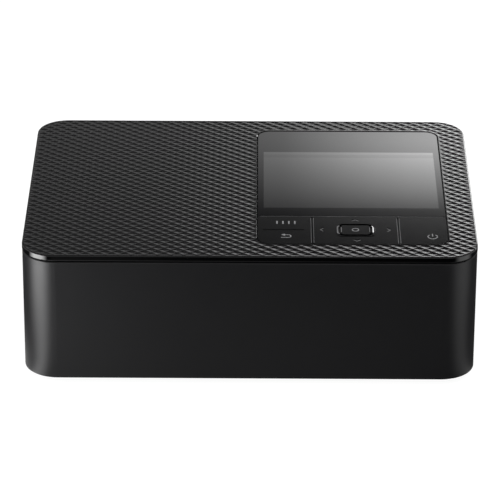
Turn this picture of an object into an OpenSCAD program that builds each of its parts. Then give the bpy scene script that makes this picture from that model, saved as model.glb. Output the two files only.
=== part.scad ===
// Compact photo printer: a low box with a textured lid, a flush display and key panel,
// a front cover over the paper bay and a ribbon door on the right side.
// Origin: middle of the footprint, on the table. +X is right seen from the front, +Y the rear.

/* [Overall size] */
// Width across the top cover
total_w = 182.2; // [181:0.1:190]
// Depth across the top cover
total_d = 133; // [132:0.5:140]
// Height from the table to the top cover
total_h = 57.6; // [57.2:0.1:62]
// Gap between the table and the underside of the case
ground_gap = 2.5; // [2.2:0.1:3]

/* [Case] */
// Wall thickness of the case, front cover and side door
wall = 1.8; // [1.6:0.1:2]
// How far the top cover overhangs the case at the front and the rear
overhang = 0.2; // [0.1:0.05:0.4]
// How far the top cover overhangs the case's sides
side_overhang = 0; // [0:0.05:0.4]
// Radius of the case's upright corners
body_r = 13.9; // [12:0.1:16]
// Rounding of the case's top and bottom edges
edge_r = 0.5; // [0.3:0.1:0.7]
// Height of the open seam under the top cover
seam_h = 0.5; // [0.4:0.1:0.8]
// How far the front cover wraps back along the sides
cover_wrap = 14; // [13.9:0.1:15]
// Open seam between the front cover and the case sides
side_seam = 0.5; // [0.4:0.1:0.8]
// Thickness of the bottom plate
floor_t = 2; // [1.6:0.1:2]

/* [Top cover] */
// Height of the top cover's edge band
lid_band = 2.6; // [2.4:0.1:3]
// Thickness of the top cover's plate
lid_t = 1.8; // [1.6:0.1:2]
// Radius of the top cover's upright corners
lid_r = 12.8; // [11:0.1:15]
// Rounding of the top cover's upper edge
lid_edge_r = 0.5; // [0.3:0.1:0.8]
// Height of the lip that reaches down inside the case
lip_h = 2; // [1.5:0.1:2.4]
// Thickness of that lip
lip_t = 1.2; // [1:0.1:1.4]

/* [Display and key panel] */
// Width of the panel
panel_w = 76.2; // [76:0.1:80]
// Depth of the panel, keys and glass together
panel_d = 109.9; // [108:0.1:111]
// Distance from the panel to the right edge of the top cover
panel_right = 11.7; // [10.8:0.1:12]
// Distance from the panel to the front edge of the top cover
panel_front = 12.2; // [12:0.1:12.6]
// Radius of the panel's corners
panel_r = 5.3; // [4.5:0.1:6]
// Gap round the glass and the keys
panel_gap = 0.35; // [0.3:0.05:0.45]
// How far the glass and keys lie below the top cover
panel_drop = 0.2; // [0.1:0.05:0.25]
// Chamfer round the panel's opening in the top cover
opening_chamfer = 0.3; // [0.2:0.05:0.35]
// Depth of the key row
key_row_d = 25.6; // [24:0.1:27]
// Width of the menu and back key
menu_w = 21.9; // [20:0.1:23]
// Width of the power key
power_w = 19.5; // [18:0.1:21]
// Travel of the confirm and power keys
key_travel = 0.25; // [0.2:0.05:0.35]
// Width of the confirm key
ok_w = 13.3; // [12:0.1:14]
// Depth of the confirm key
ok_d = 9.3; // [8:0.1:10]
// Width of the raised ring round the confirm key
ring_w = 0.9; // [0.7:0.1:1.1]
// Width of the display module
lcd_w = 75; // [74:0.5:75.5]
// Depth of the display module
lcd_d = 60; // [58:0.5:62]
// Thickness of the display module
lcd_t = 2.6; // [2.2:0.1:3]
// Distance from the glass's rear edge to the display module
lcd_back = 15.5; // [15:0.5:17]

/* [Hinges] */
// Radius of the front cover's hinge ears
ear_r = 2; // [1.8:0.1:2.1]
// Radius of the front cover's hinge pins
pin_r = 1; // [0.8:0.1:1.1]
// Radius of the barrel along a door's hinge edge
barrel_r = 2.2; // [2:0.1:2.3]
// Radius of the door pins
door_pin_r = 1.2; // [1:0.1:1.3]
// Radial running clearance of pins and shafts
run_fit = 0.05; // [0.03:0.01:0.08]
// Clearance between parts that are fitted or move past each other
fit = 0.3; // [0.25:0.05:0.35]

/* [Doors] */
// Width of the ribbon door
door_w = 68.4; // [67.5:0.1:69]
// Height of the ribbon door above its hinge line
door_h = 34.3; // [33.8:0.1:34.6]
// Height of the ribbon door's hinge line
door_z = 16; // [15.8:0.1:16.2]
// Width of the terminal cover
term_w = 34; // [30:0.5:36]
// Height of the terminal cover above its hinge line
term_h = 11; // [10:0.5:12]
// Height of the terminal cover's hinge line
term_z = 9; // [8.8:0.1:9.4]
// Distance from the middle of the case to the terminal cover's middle
term_x = 36; // [34:0.5:38]

/* [Paper path] */
// Room between a chassis plate and the outside of the case, for the gears and the motor
side_room = 31.6; // [31.1:0.1:31.6]
// Thickness of the chassis plates
plate_t = 1; // [0.8:0.1:1.2]
// Height of the paper path
path_z = 24; // [23.8:0.1:24.2]
// Side wall of the paper bay
bay_side = 2; // [1.8:0.1:3]
// Clear height of the paper bay's mouth
bay_h = 27.5; // [26:0.5:28]
// Distance from the rear paper slot's ends to the chassis plates
slot_side = 5.5; // [4:0.5:7]
// Height of the rear paper slot
slot_h = 8; // [7:0.5:9]
// Radius of the platen roller
platen_r = 7; // [6.8:0.1:7]
// Radius of the grip roller
grip_r = 4; // [3.8:0.1:4]
// Radius of the pinch roller
pinch_r = 3.5; // [3.3:0.1:3.5]
// Radius of the feed roller
feed_r = 5.5; // [5.2:0.1:5.5]
// Distance from the rubber rollers' ends to the chassis plates
roller_side = 7.5; // [6:0.5:9]
// Radius of the roller shafts
shaft_r = 2.5; // [2.3:0.1:2.6]
// Wall of the shaft bushes
bush_t = 1.3; // [1.1:0.1:1.3]

/* [Gears] */
// Gear module: pitch diameter for each tooth
gear_m = 0.8; // [0.79:0.01:0.81]
// Teeth on the platen gear
platen_teeth = 26; // [26]
// Teeth on the grip roller's gear
grip_teeth = 22; // [22]
// Teeth on the feed roller's gear
feed_teeth = 18; // [18]
// Teeth on the rear idler gear
rear_idler_teeth = 24; // [24]
// Teeth on the front idler gear
front_idler_teeth = 19; // [19]
// Teeth on the motor's pinion
pinion_teeth = 12; // [12]
// Teeth on the take-up gear
take_up_teeth = 17; // [17]
// Teeth on the idler that drives it
clutch_idler_teeth = 10; // [10]
// Width of the gears' faces
gear_w = 5; // [4:0.5:6]
// Play between meshed teeth, along the pitch circle
backlash = 0.25; // [0.2:0.01:0.3]
// Radius of the feed motor's can
motor_r = 12; // [11:0.5:12.5]
// Length of the feed motor's can
motor_l = 14; // [12:0.5:14.5]

/* [Ribbon cassette] */
// Outer radius of the cassette's two tubes
tube_r = 10; // [9.8:0.1:10]
// Wall of the tubes
tube_t = 1; // [0.8:0.1:1.1]
// Height of the tubes' middle
tube_z = 40; // [39.9:0.1:40.1]
// Radius of the spools' cores
core_r = 4.5; // [4:0.1:5]
// Radius of the film wound on the full spool
full_r = 8; // [7.5:0.1:8.4]
// Radius of the film wound on the take-up spool
taken_r = 6; // [5.5:0.1:7]
// Distance from the ribbon film's edges to the chassis plates
film_side = 9.5; // [9:0.5:11]
// Thickness drawn for the ribbon film
film_t = 0.2; // [0.15:0.05:0.3]

/* [Hidden] */
$fn = 64;
eps = 0.01;

// Case outline and levels
body_w = total_w - 2 * side_overhang;
body_d = total_d - 2 * overhang;
half_w = body_w / 2;
half_d = body_d / 2;
in_w = half_w - wall;
in_d = half_d - wall;
lid_z = total_h - lid_band;
case_top = lid_z - seam_h;
floor_top = ground_gap + floor_t;
lip_z = lid_z - lip_h;
inner_top = lip_z - fit;
cover_end_y = -half_d + cover_wrap;
case_front_y = cover_end_y + side_seam;

// Front cover hinge
hinge_back = wall + ear_r + 2 * fit;
hinge_y = -half_d + hinge_back;
hinge_z = max(hinge_back + 0.5, ground_gap + ear_r + 0.4);
cover_ear_x = half_w - body_r;
ear_w = 3;
lug_w = 2.5;
lug_x = cover_ear_x + ear_w / 2 + fit;

// Front frame behind the cover
frame_front_y = hinge_y + ear_r + 0.5;
bottom_front_y = frame_front_y + 0.9;
frame_t = 1.6;
frame_half = in_w - 0.5;
frame_r = 5;
frame_side_t = 1.2;
frame_end_y = case_front_y + 2.5;
bay_z = floor_top + 0.2 + frame_t;
catch_x = cover_ear_x - 17;
catch_z = inner_top - 5;

// Panel
panel_x1 = total_w / 2 - panel_right;
panel_x0 = panel_x1 - panel_w;
panel_y0 = -total_d / 2 + panel_front;
panel_y1 = panel_y0 + panel_d;
panel_x = (panel_x0 + panel_x1) / 2;
glass_y0 = panel_y0 + key_row_d;
panel_top = total_h - panel_drop;
seat_z = total_h - lid_t;
cap_z = seat_z + key_travel + 0.05;
cap_t = panel_top - cap_z;
key_y = panel_y0 + key_row_d / 2;
menu_x1 = panel_x0 + menu_w;
power_x0 = panel_x1 - power_w;
menu_x = (panel_x0 + menu_x1) / 2;
nav_x = (menu_x1 + power_x0) / 2;
power_x = (power_x0 + panel_x1) / 2;
carrier_t = 1.8;
carrier_z = seat_z - carrier_t;
carrier_rim = 1.5;
stem_r = 1.8;
stem_hole_r = 2.3;
stem_z = seat_z - 1.9;
board_t = 1.2;
key_board_z = seat_z - 4.8;
rocker_dy = 7;
nav_dx = 13.4;
nav_dy = 9.2;
lcd_x = panel_x;
lcd_y = panel_y1 - lcd_back - lcd_d / 2;

// Widths of what lies between the chassis plates
chassis_half = half_w - side_room;
chassis_out = chassis_half + plate_t;
bay_w = 2 * (chassis_half - bay_side);
slot_w = 2 * (chassis_half - slot_side);
roller_l = 2 * (chassis_half - roller_side);
film_w = 2 * (chassis_half - film_side);

// Shafts across the chassis, each as [y, z]; the paper path is set from the rear wall
grip_y = half_d - 14.3;
platen_y = grip_y - 38;
platen_at = [platen_y, path_z - fit - platen_r];
grip_at = [grip_y, path_z - fit - grip_r];
pinch_at = [grip_y, path_z + fit + pinch_r];
feed_at = [platen_y - 31, path_z + 2.5];
head_at = [platen_y + 6.5, path_z + 9];
head_shaft_r = 1.5;
chassis_z = floor_top + 0.2;
chassis_front = -(half_d - 8.8);
chassis_back = half_d - 6.3;
arm_top = path_z + 12;
chassis_top = min(lcd_bottom() - 0.6, inner_top);
bush_flange = 1.5;

// Gears lie in one plane outside the left chassis plate
gear_x1 = -(chassis_out + bush_flange + 1);
gear_x0 = gear_x1 - gear_w;
function pitch_r(teeth) = gear_m * teeth / 2;
function turn(a, b) = atan2(b[1] - a[1], b[0] - a[0]);
// Middle of a wheel that meshes with the wheels at a and b, on the side that s picks
function between(a, ra, b, rb, r, s) =
  let (d = norm(b - a), u = ra + r, v = rb + r, k = (d * d + u * u - v * v) / (2 * d),
       h = sqrt(max(0, u * u - k * k)), dir = (b - a) / d)
  a + dir * k + s * h * [-dir[1], dir[0]];
// Turn of a wheel at b, so that its gaps take the teeth of the wheel at a
function meshed(a, na, turn_a, b, nb) =
  let (f = turn(a, b)) f + 180 + (f - turn_a) * na / nb - 180 / nb;
rear_idler_at = between(platen_at, pitch_r(platen_teeth), grip_at, pitch_r(grip_teeth),
  pitch_r(rear_idler_teeth), -1);
front_idler_at = between(platen_at, pitch_r(platen_teeth), feed_at, pitch_r(feed_teeth),
  pitch_r(front_idler_teeth), 1);
pinion_angle = 100;
pinion_at = platen_at
  + (pitch_r(platen_teeth) + pitch_r(pinion_teeth)) * [cos(pinion_angle), sin(pinion_angle)];
platen_turn = 0;
rear_idler_turn = meshed(platen_at, platen_teeth, platen_turn, rear_idler_at, rear_idler_teeth);
front_idler_turn = meshed(platen_at, platen_teeth, platen_turn, front_idler_at, front_idler_teeth);
grip_turn = meshed(rear_idler_at, rear_idler_teeth, rear_idler_turn, grip_at, grip_teeth);
feed_turn = meshed(front_idler_at, front_idler_teeth, front_idler_turn, feed_at, feed_teeth);
pinion_turn = meshed(platen_at, platen_teeth, platen_turn, pinion_at, pinion_teeth);
idler_post_r = 2;

// Ribbon cassette, lying along X
supply_at = [platen_y - 22, tube_z];
take_up_at = [platen_y + 22, tube_z];
tube_x0 = -(chassis_half - 5.5);
tube_x1 = chassis_out + 3.5;
arm_end_y = supply_at[0] - tube_r - 6;
cap_w = 3;
film_z = path_z + 0.7;
clutch_idler_at = between(rear_idler_at, pitch_r(rear_idler_teeth), take_up_at,
  pitch_r(take_up_teeth), pitch_r(clutch_idler_teeth), -1);
clutch_idler_turn = meshed(rear_idler_at, rear_idler_teeth, rear_idler_turn, clutch_idler_at,
  clutch_idler_teeth);
take_up_turn = meshed(clutch_idler_at, clutch_idler_teeth, clutch_idler_turn, take_up_at,
  take_up_teeth);
hub_r = 3;
blade_l = 1.5;
blade_t = 1.2;
leg_y0 = supply_at[0] + tube_r - 0.6;
leg_y1 = take_up_at[0] - tube_r + 0.6;
leg_t = 1.4;
leg_z = film_z + film_t + fit;
journal_r = 2.5;

// Ribbon door
leaf_ear_w = 2.8;
door_x = half_w - barrel_r;
door_y = platen_y;
door_top = door_z + door_h;
lever_at = [take_up_at[0] - 6, door_z - 2];
lever_post_r = 1.5;

// Boards and ports
board_z = arm_top + 0.2;
main_board_t = 1.4;
card_y = door_y - door_w / 2 - 14.4;
card_w = 24.6;
card_h = 3.2;
port_board_z = board_z - 5.4;
host_w = 13.1;
host_h = 5.7;
inlet_x = half_w - 16.2;
inlet_z = 14;
inlet_r = 3.1;
data_x = inlet_x - 9.7;
vent_x = half_w - 40.9;

// Screw columns near the four corners, each as [x, y]
column_r = 2.6;
column_dx = frame_half - frame_side_t - column_r - 0.4;
column_y0 = frame_front_y + frame_t + column_r + 2;
column_y1 = half_d - 10.3;
COLUMNS = [for (sx = [-1, 1], y = [column_y0, column_y1]) [sx * column_dx, y]];
column_top = 45.7;
screw_r = 1.15;
foot_r = 5;
foot_inset = 14;
FEET = [for (sx = [-1, 1], y = [-half_d + foot_inset + 3, half_d - foot_inset])
  [sx * (half_w - foot_inset), y]];

function lcd_bottom() = seat_z - lcd_t;

// ---------- shapes used more than once ----------

// Rectangle with round corners, about the origin
module rounded_rect(w, d, r) {
  square([w - 2 * r, d], center = true);
  square([w, d - 2 * r], center = true);
  for (sx = [-1, 1], sy = [-1, 1])
    translate([sx * (w / 2 - r), sy * (d / 2 - r)]) circle(r);
}

// Slab with round upright corners
module slab(w, d, h, r) {
  linear_extrude(h) rounded_rect(w, d, r);
}

// Half section of a slab's corner, rounded by e at the bottom and the top
module corner_section(r, h, e) {
  translate([0, e]) square([r, h - 2 * e]);
  square([r - e, h]);
  for (z = [e, h - e]) translate([r - e, z]) circle(e);
}

// Whole section of a slab, rounded the same way
module slab_section(w, h, e) {
  translate([-w / 2, e]) square([w, h - 2 * e]);
  translate([e - w / 2, 0]) square([w - 2 * e, h]);
  for (s = [-1, 1], z = [e, h - e]) translate([s * (w / 2 - e), z]) circle(e);
}

// Slab with round upright corners r and rounded top and bottom edges e
module soft_slab(w, d, h, r, e) {
  for (sx = [-1, 1], sy = [-1, 1])
    translate([sx * (w / 2 - r), sy * (d / 2 - r), 0])
      rotate_extrude() intersection() {
        corner_section(r, h, e);
        square([r, h]);
      }
  rotate([90, 0, 0]) linear_extrude(d - 2 * r, center = true) slab_section(w, h, e);
  rotate([90, 0, 90]) linear_extrude(w - 2 * r, center = true) slab_section(d, h, e);
}

// Cylinder along X from x0 to x1, about the line y, z = at
module rod(at, x0, x1, r) {
  translate([x0, at[0], at[1]]) rotate([0, 90, 0]) cylinder(r = r, h = x1 - x0);
}

// The same from a to b on side s of the middle
module side_rod(s, at, a, b, r) {
  rod(at, min(s * a, s * b), max(s * a, s * b), r);
}

// Box from its lowest to its highest corner
module block(a, b) {
  translate(a) cube(b - a);
}

// Row of n upright slots through a wall, along X, centred on the origin
module slots(n, pitch, w, h, depth) {
  for (i = [0 : n - 1])
    translate([(i - (n - 1) / 2) * pitch, 0, 0]) rotate([90, 0, 0])
      linear_extrude(depth, center = true) rounded_rect(w, h, w / 2 - eps);
}

// Toothed wheel along X, its face from gear_x0 to gear_x1, with a round bore
module gear(at, teeth, phase, bore_r) {
  rp = pitch_r(teeth);
  add = gear_m * 0.9;
  ded = gear_m * 1.15;
  half_tooth = (PI * gear_m / 2 - backlash) / 2;
  slope = tan(20);
  // Half widths of a tooth at its root, pitch circle and tip
  flank = [[rp - ded, half_tooth + ded * slope * 0.8], [rp, half_tooth],
    [rp + add * 0.55, half_tooth - add * 0.55 * slope * 1.15],
    [rp + add, half_tooth - add * slope * 1.5]];
  outline = [for (i = [0 : teeth - 1]) let (a = phase + i * 360 / teeth)
    each concat(
      [for (p = flank) let (b = a - asin(p[1] / p[0])) p[0] * [cos(b), sin(b)]],
      [for (j = [3 : -1 : 0]) let (p = flank[j], b = a + asin(p[1] / p[0])) p[0] * [cos(b), sin(b)]]
    )];
  difference() {
    translate([gear_x0, at[0], at[1]]) rotate([90, 0, 90]) linear_extrude(gear_w) polygon(outline);
    rod(at, gear_x0 - 1, gear_x1 + 1, bore_r);
    // Thinner web between hub and rim
    translate([gear_x0 - eps, at[0], at[1]]) rotate([0, 90, 0]) difference() {
      cylinder(r = rp - 2.4, h = gear_w / 3);
      translate([0, 0, -1]) cylinder(r = min(bore_r + 1.6, rp - 2.5), h = gear_w);
    }
  }
}

// Door leaf in its own place: hinge line along X at the origin, leaf up, outer face at y = barrel_r
module leaf(w, h) {
  difference() {
    union() {
      translate([-w / 2, barrel_r - wall, 0]) cube([w, wall, h]);
      rotate([0, 90, 0]) cylinder(r = barrel_r, h = w, center = true);
      rotate([0, 90, 0]) cylinder(r = door_pin_r, h = w + 4, center = true);
    }
    // Shallow finger scoop at the top of the outer face
    translate([0, barrel_r + 5.2, h]) rotate([0, 90, 0])
      cylinder(r = 6, h = w * 0.28, center = true);
  }
}

// The two ears that hold a leaf's pins, in the same place
module leaf_ears(w) {
  for (s = [-1, 1]) translate([s * (w / 2 + fit + leaf_ear_w / 2), 0, 0]) {
    rotate([0, 90, 0]) cylinder(r = barrel_r, h = leaf_ear_w, center = true);
    translate([-leaf_ear_w / 2, 0, -barrel_r])
      cube([leaf_ear_w, barrel_r - wall / 2, 2 * barrel_r]);
  }
}

// Bores for a leaf's pins, through the ears and into the wall beside them
module leaf_bores(w) {
  rotate([0, 90, 0])
    cylinder(r = door_pin_r + run_fit, h = w + 2 * (fit + leaf_ear_w) + 1, center = true);
}

// The hole that a leaf needs in its wall
module leaf_hole(w, h) {
  translate([-w / 2 - fit, -3, -barrel_r - fit])
    cube([w + 2 * fit, barrel_r + 4, h + barrel_r + 2 * fit]);
}

module on_right_wall() {
  translate([door_x, door_y, door_z]) rotate([0, 0, -90]) children();
}

module on_rear_wall() {
  translate([-term_x, half_d - barrel_r, term_z]) children();
}

// Full case shell, before it is split into front cover and case body
module shell() {
  h = case_top - ground_gap;
  translate([0, 0, ground_gap]) difference() {
    soft_slab(body_w, body_d, h, body_r, edge_r);
    translate([0, 0, -1]) slab(2 * in_w, 2 * in_d, h + 2, body_r - wall);
  }
}

// ---------- top cover and panel ----------

module panel_hole(grow) {
  translate([panel_x, (panel_y0 + panel_y1) / 2, 0])
    slab(panel_w + 2 * grow, panel_d + 2 * grow, total_h + 1, panel_r + grow);
}

// Chamfer e wide round a rounded rectangular opening in the top cover
module chamfer_cut(w, d, r, e) {
  translate([panel_x, (panel_y0 + panel_y1) / 2, total_h - e]) {
    for (sx = [-1, 1], sy = [-1, 1])
      translate([sx * (w / 2 - r), sy * (d / 2 - r), 0]) cylinder(r1 = r, r2 = r + 2 * e, h = 2 * e);
    rotate([90, 0, 0]) linear_extrude(d - 2 * r, center = true) flared_section(w, e);
    rotate([90, 0, 90]) linear_extrude(w - 2 * r, center = true) flared_section(d, e);
  }
}

module flared_section(w, e) {
  polygon([[-w / 2, 0], [w / 2, 0], [w / 2 + 2 * e, 2 * e], [-w / 2 - 2 * e, 2 * e]]);
}

module top_cover() {
  color("#17181a") difference() {
    union() {
      translate([0, 0, lid_z]) soft_slab(total_w, total_d, lid_band, lid_r, lid_edge_r);
      translate([0, 0, lip_z])
        slab(2 * (in_w - fit), 2 * (in_d - fit), lip_h + eps, body_r - wall - fit);
    }
    translate([0, 0, lip_z - 1]) slab(2 * (in_w - fit - lip_t), 2 * (in_d - fit - lip_t),
      seat_z - lip_z + 1, body_r - wall - fit - lip_t);
    panel_hole(panel_gap);
    chamfer_cut(panel_w + 2 * panel_gap, panel_d + 2 * panel_gap, panel_r + panel_gap, opening_chamfer);
  }
  // Screw bosses
  color("#17181a") for (p = COLUMNS) difference() {
    translate([p[0], p[1], column_top + fit]) cylinder(r = column_r, h = seat_z - column_top - fit);
    translate([p[0], p[1], column_top]) cylinder(r = screw_r + run_fit, h = 5);
  }
}

module stem_holes() {
  for (p = [[menu_x, -rocker_dy], [menu_x, rocker_dy], [nav_x - nav_dx, 0], [nav_x + nav_dx, 0],
      [nav_x, -nav_dy], [nav_x, nav_dy], [nav_x, 0], [power_x, 0]])
    translate([p[0], key_y + p[1], carrier_z - 1]) cylinder(r = stem_hole_r, h = carrier_t + 2);
}

module panel_frame() {
  color("#1c1d1f") difference() {
    union() {
      translate([panel_x, (panel_y0 + panel_y1) / 2, carrier_z])
        slab(panel_w + 2 * carrier_rim, panel_d + 2 * carrier_rim, carrier_t, panel_r + carrier_rim);
      // Posts that carry the key board
      for (sx = [-1, 1], sy = [-1, 1])
        translate([panel_x + sx * (panel_w / 2 - 4), key_y + sy * (key_row_d / 2 - 4),
          key_board_z + board_t]) cylinder(r = 1.5, h = carrier_z - key_board_z - board_t + eps);
    }
    translate([lcd_x - lcd_w / 2 - fit, lcd_y - lcd_d / 2 - fit, carrier_z - 1])
      cube([lcd_w + 2 * fit, lcd_d + 2 * fit, carrier_t + 2]);
    stem_holes();
  }
}

module display_glass() {
  color("#0c0d10") intersection() {
    panel_hole(0);
    block([panel_x0 - 1, glass_y0 + panel_gap / 2, seat_z], [panel_x1 + 1, panel_y1 + 1, panel_top]);
  }
}

module lcd_module() {
  color("#2a2d33") block([lcd_x - lcd_w / 2, lcd_y - lcd_d / 2, lcd_bottom()],
    [lcd_x + lcd_w / 2, lcd_y + lcd_d / 2, seat_z]);
}

module key_board() {
  color("#1f5a38") block([panel_x0 + 2, panel_y0 + 2, key_board_z],
    [panel_x1 - 2, glass_y0 - 2, key_board_z + board_t]);
  // Tact switches under the key stems
  color("#222222") for (p = [[menu_x, -rocker_dy], [menu_x, rocker_dy], [nav_x - nav_dx, 0],
      [nav_x + nav_dx, 0], [nav_x, -nav_dy], [nav_x, nav_dy], [nav_x, 0], [power_x, 0]])
    translate([p[0], key_y + p[1], key_board_z + board_t]) {
      translate([-2, -1.75, 0]) cube([4, 3.5, 0.7]);
      cylinder(r = 1, h = stem_z - 0.5 - key_board_z - board_t);
    }
}

// Key plate from x0 to x1, cut from the panel's outline, with its edge gaps
module key_plate(x0, x1) {
  intersection() {
    panel_hole(0);
    block([x0, panel_y0 - 1, cap_z], [x1, glass_y0 - panel_gap / 2, panel_top]);
  }
}

module stem(x, y) {
  translate([x, key_y + y, stem_z]) cylinder(r = stem_r, h = cap_z - stem_z + eps);
}

module menu_back_key() {
  color("#24262a") {
    key_plate(panel_x0 - 1, menu_x1 - panel_gap / 2);
    for (s = [-1, 1]) stem(menu_x, s * rocker_dy);
  }
}

module nav_key() {
  color("#24262a") difference() {
    union() {
      key_plate(menu_x1 + panel_gap / 2, power_x0 - panel_gap / 2);
      for (s = [-1, 1]) {
        stem(nav_x + s * nav_dx, 0);
        stem(nav_x, s * nav_dy);
      }
      translate([nav_x, key_y, cap_z])
        slab(ok_w + 2 * (fit + ring_w), ok_d + 2 * (fit + ring_w), total_h - cap_z, 2.5);
    }
    translate([nav_x, key_y, cap_z - 1]) slab(ok_w + 2 * fit, ok_d + 2 * fit, 4, 1.8);
  }
}

module ok_key() {
  color("#2c2e32") {
    translate([nav_x, key_y, cap_z]) slab(ok_w, ok_d, cap_t, 1.5);
    stem(nav_x, 0);
  }
}

module power_key() {
  color("#24262a") {
    key_plate(power_x0 + panel_gap / 2, panel_x1 + 1);
    stem(power_x, 0);
  }
}

// ---------- case ----------

module front_cover() {
  color("#1b1c1e") {
    intersection() {
      shell();
      block([-total_w, -total_d, 0], [total_w, cover_end_y, total_h]);
      // Rear corners trimmed round the hinge, so that they pass under the top cover as they swing
      union() {
        rod([hinge_y, hinge_z], -total_w, total_w, lid_z - hinge_z - fit / 2);
        block([-total_w, -total_d, 0], [total_w, hinge_y, total_h]);
      }
    }
    for (s = [-1, 1]) {
      // Hinge lugs, joined to the cover's inner face, with pins that point inwards
      side_rod(s, [hinge_y, hinge_z], lug_x, lug_x + lug_w, ear_r);
      side_rod(s, [hinge_y, hinge_z], cover_ear_x - ear_w / 2, lug_x + eps, pin_r);
      translate([s * (lug_x + lug_w / 2) - lug_w / 2, -in_d - eps, hinge_z - 1])
        cube([lug_w, in_d + hinge_y, ear_r + 1]);
      // Catches that enter slots in the front frame
      block([s * catch_x - 3.5, -in_d - eps, catch_z - 0.6],
        [s * catch_x + 3.5, frame_front_y + 1, catch_z + 0.6]);
    }
    // Stiffening ribs on the inner face
    for (x = [-45 : 15 : 45])
      block([x - 0.5, -in_d - eps, ground_gap + 5], [x + 0.5, -in_d + 1.2, case_top - 3]);
  }
}

module front_frame() {
  h = inner_top - floor_top - 0.2;
  color("#141516") difference() {
    union() {
      intersection() {
        translate([0, frame_front_y + total_d / 2, floor_top + 0.2]) difference() {
          slab(2 * frame_half, total_d, h, frame_r);
          translate([0, frame_t, -1]) slab(2 * (frame_half - frame_side_t), total_d, h + 2,
            frame_r - frame_side_t);
        }
        block([-total_w, -total_d, 0], [total_w, frame_end_y, total_h]);
      }
      // Hinge ears
      for (s = [-1, 1]) {
        rod([hinge_y, hinge_z], s * cover_ear_x - ear_w / 2, s * cover_ear_x + ear_w / 2, ear_r);
        block([s * cover_ear_x - ear_w / 2, hinge_y, hinge_z - ear_r],
          [s * cover_ear_x + ear_w / 2, frame_front_y + frame_t / 2, hinge_z + ear_r]);
      }
      // Raised rim round the mouth of the paper bay
      translate([0, frame_front_y - 0.6, bay_z + bay_h / 2]) rotate([-90, 0, 0])
        slab(bay_w + 5, bay_h + 2.4, 1, 3);
    }
    translate([0, frame_front_y - 2, bay_z + bay_h / 2]) rotate([-90, 0, 0])
      slab(bay_w, bay_h, 6, 2);
    for (s = [-1, 1]) {
      rod([hinge_y, hinge_z], s * cover_ear_x - 3, s * cover_ear_x + 3, pin_r + run_fit);
      block([s * catch_x - 4, frame_front_y - 1, catch_z - 1.2],
        [s * catch_x + 4, frame_front_y + frame_t + 1, catch_z + 1.2]);
    }
  }
}

module case_body() {
  color("#1b1c1e") difference() {
    union() {
      intersection() {
        shell();
        block([-total_w, case_front_y, 0], [total_w, total_d, total_h]);
      }
      on_right_wall() leaf_ears(door_w);
      on_rear_wall() leaf_ears(term_w);
    }
    on_right_wall() {
      leaf_hole(door_w, door_h);
      leaf_bores(door_w);
    }
    on_rear_wall() {
      leaf_hole(term_w, term_h);
      leaf_bores(term_w);
    }
    // Rear paper slot
    translate([0, half_d, path_z + 0.4]) rotate([90, 0, 0])
      linear_extrude(4 * wall, center = true) rounded_rect(slot_w, slot_h, 1.5);
    // Power inlet and data port
    translate([inlet_x, half_d, inlet_z]) rotate([90, 0, 0])
      cylinder(r = inlet_r + 1.2 + fit / 3, h = 4 * wall, center = true);
    translate([data_x, half_d, inlet_z]) rotate([90, 0, 0])
      linear_extrude(4 * wall, center = true) rounded_rect(9.4, 3.7, 1.8);
    // Card slot and host port
    block([half_w - 3 * wall, card_y - card_w / 2 - fit / 3, port_board_z + board_t + 0.7],
      [half_w + 1, card_y + card_w / 2 + fit / 3, port_board_z + board_t + 3.3]);
    block([half_w - 3 * wall, card_y - host_w / 2 - fit / 3, port_board_z - host_h - fit],
      [half_w + 1, card_y + host_w / 2 + fit / 3, port_board_z - fit / 3]);
    // Vents: rear wall on both sides, and the left wall
    for (s = [-1, 1]) translate([s * vent_x, half_d, tube_z + 2]) slots(11, 3.6, 1.6, 12, 4 * wall);
    translate([-half_w, platen_y + 8, path_z - 4]) rotate([0, 0, 90])
      slots(12, 3.6, 1.6, 14, 4 * wall);
  }
}

module bottom_case() {
  color("#161718") difference() {
    union() {
      intersection() {
        translate([0, 0, ground_gap])
          slab(2 * (in_w - fit / 2), 2 * (in_d - fit / 2), floor_t, body_r - wall - fit / 2);
        block([-total_w, case_front_y, 0], [total_w, total_d, total_h]);
      }
      // Narrower front part, clear of the cover's corners as they swing
      translate([0, (bottom_front_y + half_d) / 2 - 20, ground_gap])
        slab(2 * (frame_half - 1), half_d - bottom_front_y - 40, floor_t, frame_r);
      for (p = COLUMNS) translate([p[0], p[1], ground_gap])
        cylinder(r = column_r, h = column_top - ground_gap);
      for (p = FEET) translate([p[0], p[1], ground_gap])
        cylinder(r = foot_r + 1.2, h = floor_t + 0.1);
    }
    for (p = COLUMNS) translate([p[0], p[1], 0]) {
      translate([0, 0, -1]) cylinder(r = 1.9, h = column_top - 2);
      cylinder(r = screw_r + run_fit, h = column_top + 1);
    }
    for (p = FEET) translate([p[0], p[1], 0]) cylinder(r = foot_r, h = ground_gap + 0.7);
    // Vents under the boards and the paper path
    for (y = [26, 44], i = [-7 : 7])
      translate([i * 6, y, 0]) slab(1.8, 12, 2 * (ground_gap + floor_t), 0.85);
  }
}

module rubber_feet() {
  color("#2b2b2b") for (p = FEET) translate([p[0], p[1], 0]) rotate_extrude() intersection() {
    corner_section(foot_r, ground_gap + 0.7, 0.6);
    square([foot_r, ground_gap + 0.7]);
  }
}

module case_screws() {
  color("silver") for (p = COLUMNS) translate([p[0], p[1], column_top - 3]) {
    translate([0, 0, -1.6]) cylinder(r = 1.8, h = 1.6);
    translate([0, 0, -eps]) cylinder(r = screw_r, h = 7.6);
  }
}

module side_door() {
  color("#1b1c1e") {
    on_right_wall() leaf(door_w, door_h);
    // Ribs on the inner face
    for (y = [-24 : 12 : 24])
      block([in_w - 1, door_y + y - 0.5, door_z + 6], [in_w + eps, door_y + y + 0.5, door_top - 3]);
  }
}

module terminal_cover() {
  color("#1b1c1e") on_rear_wall() leaf(term_w, term_h);
}

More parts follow.
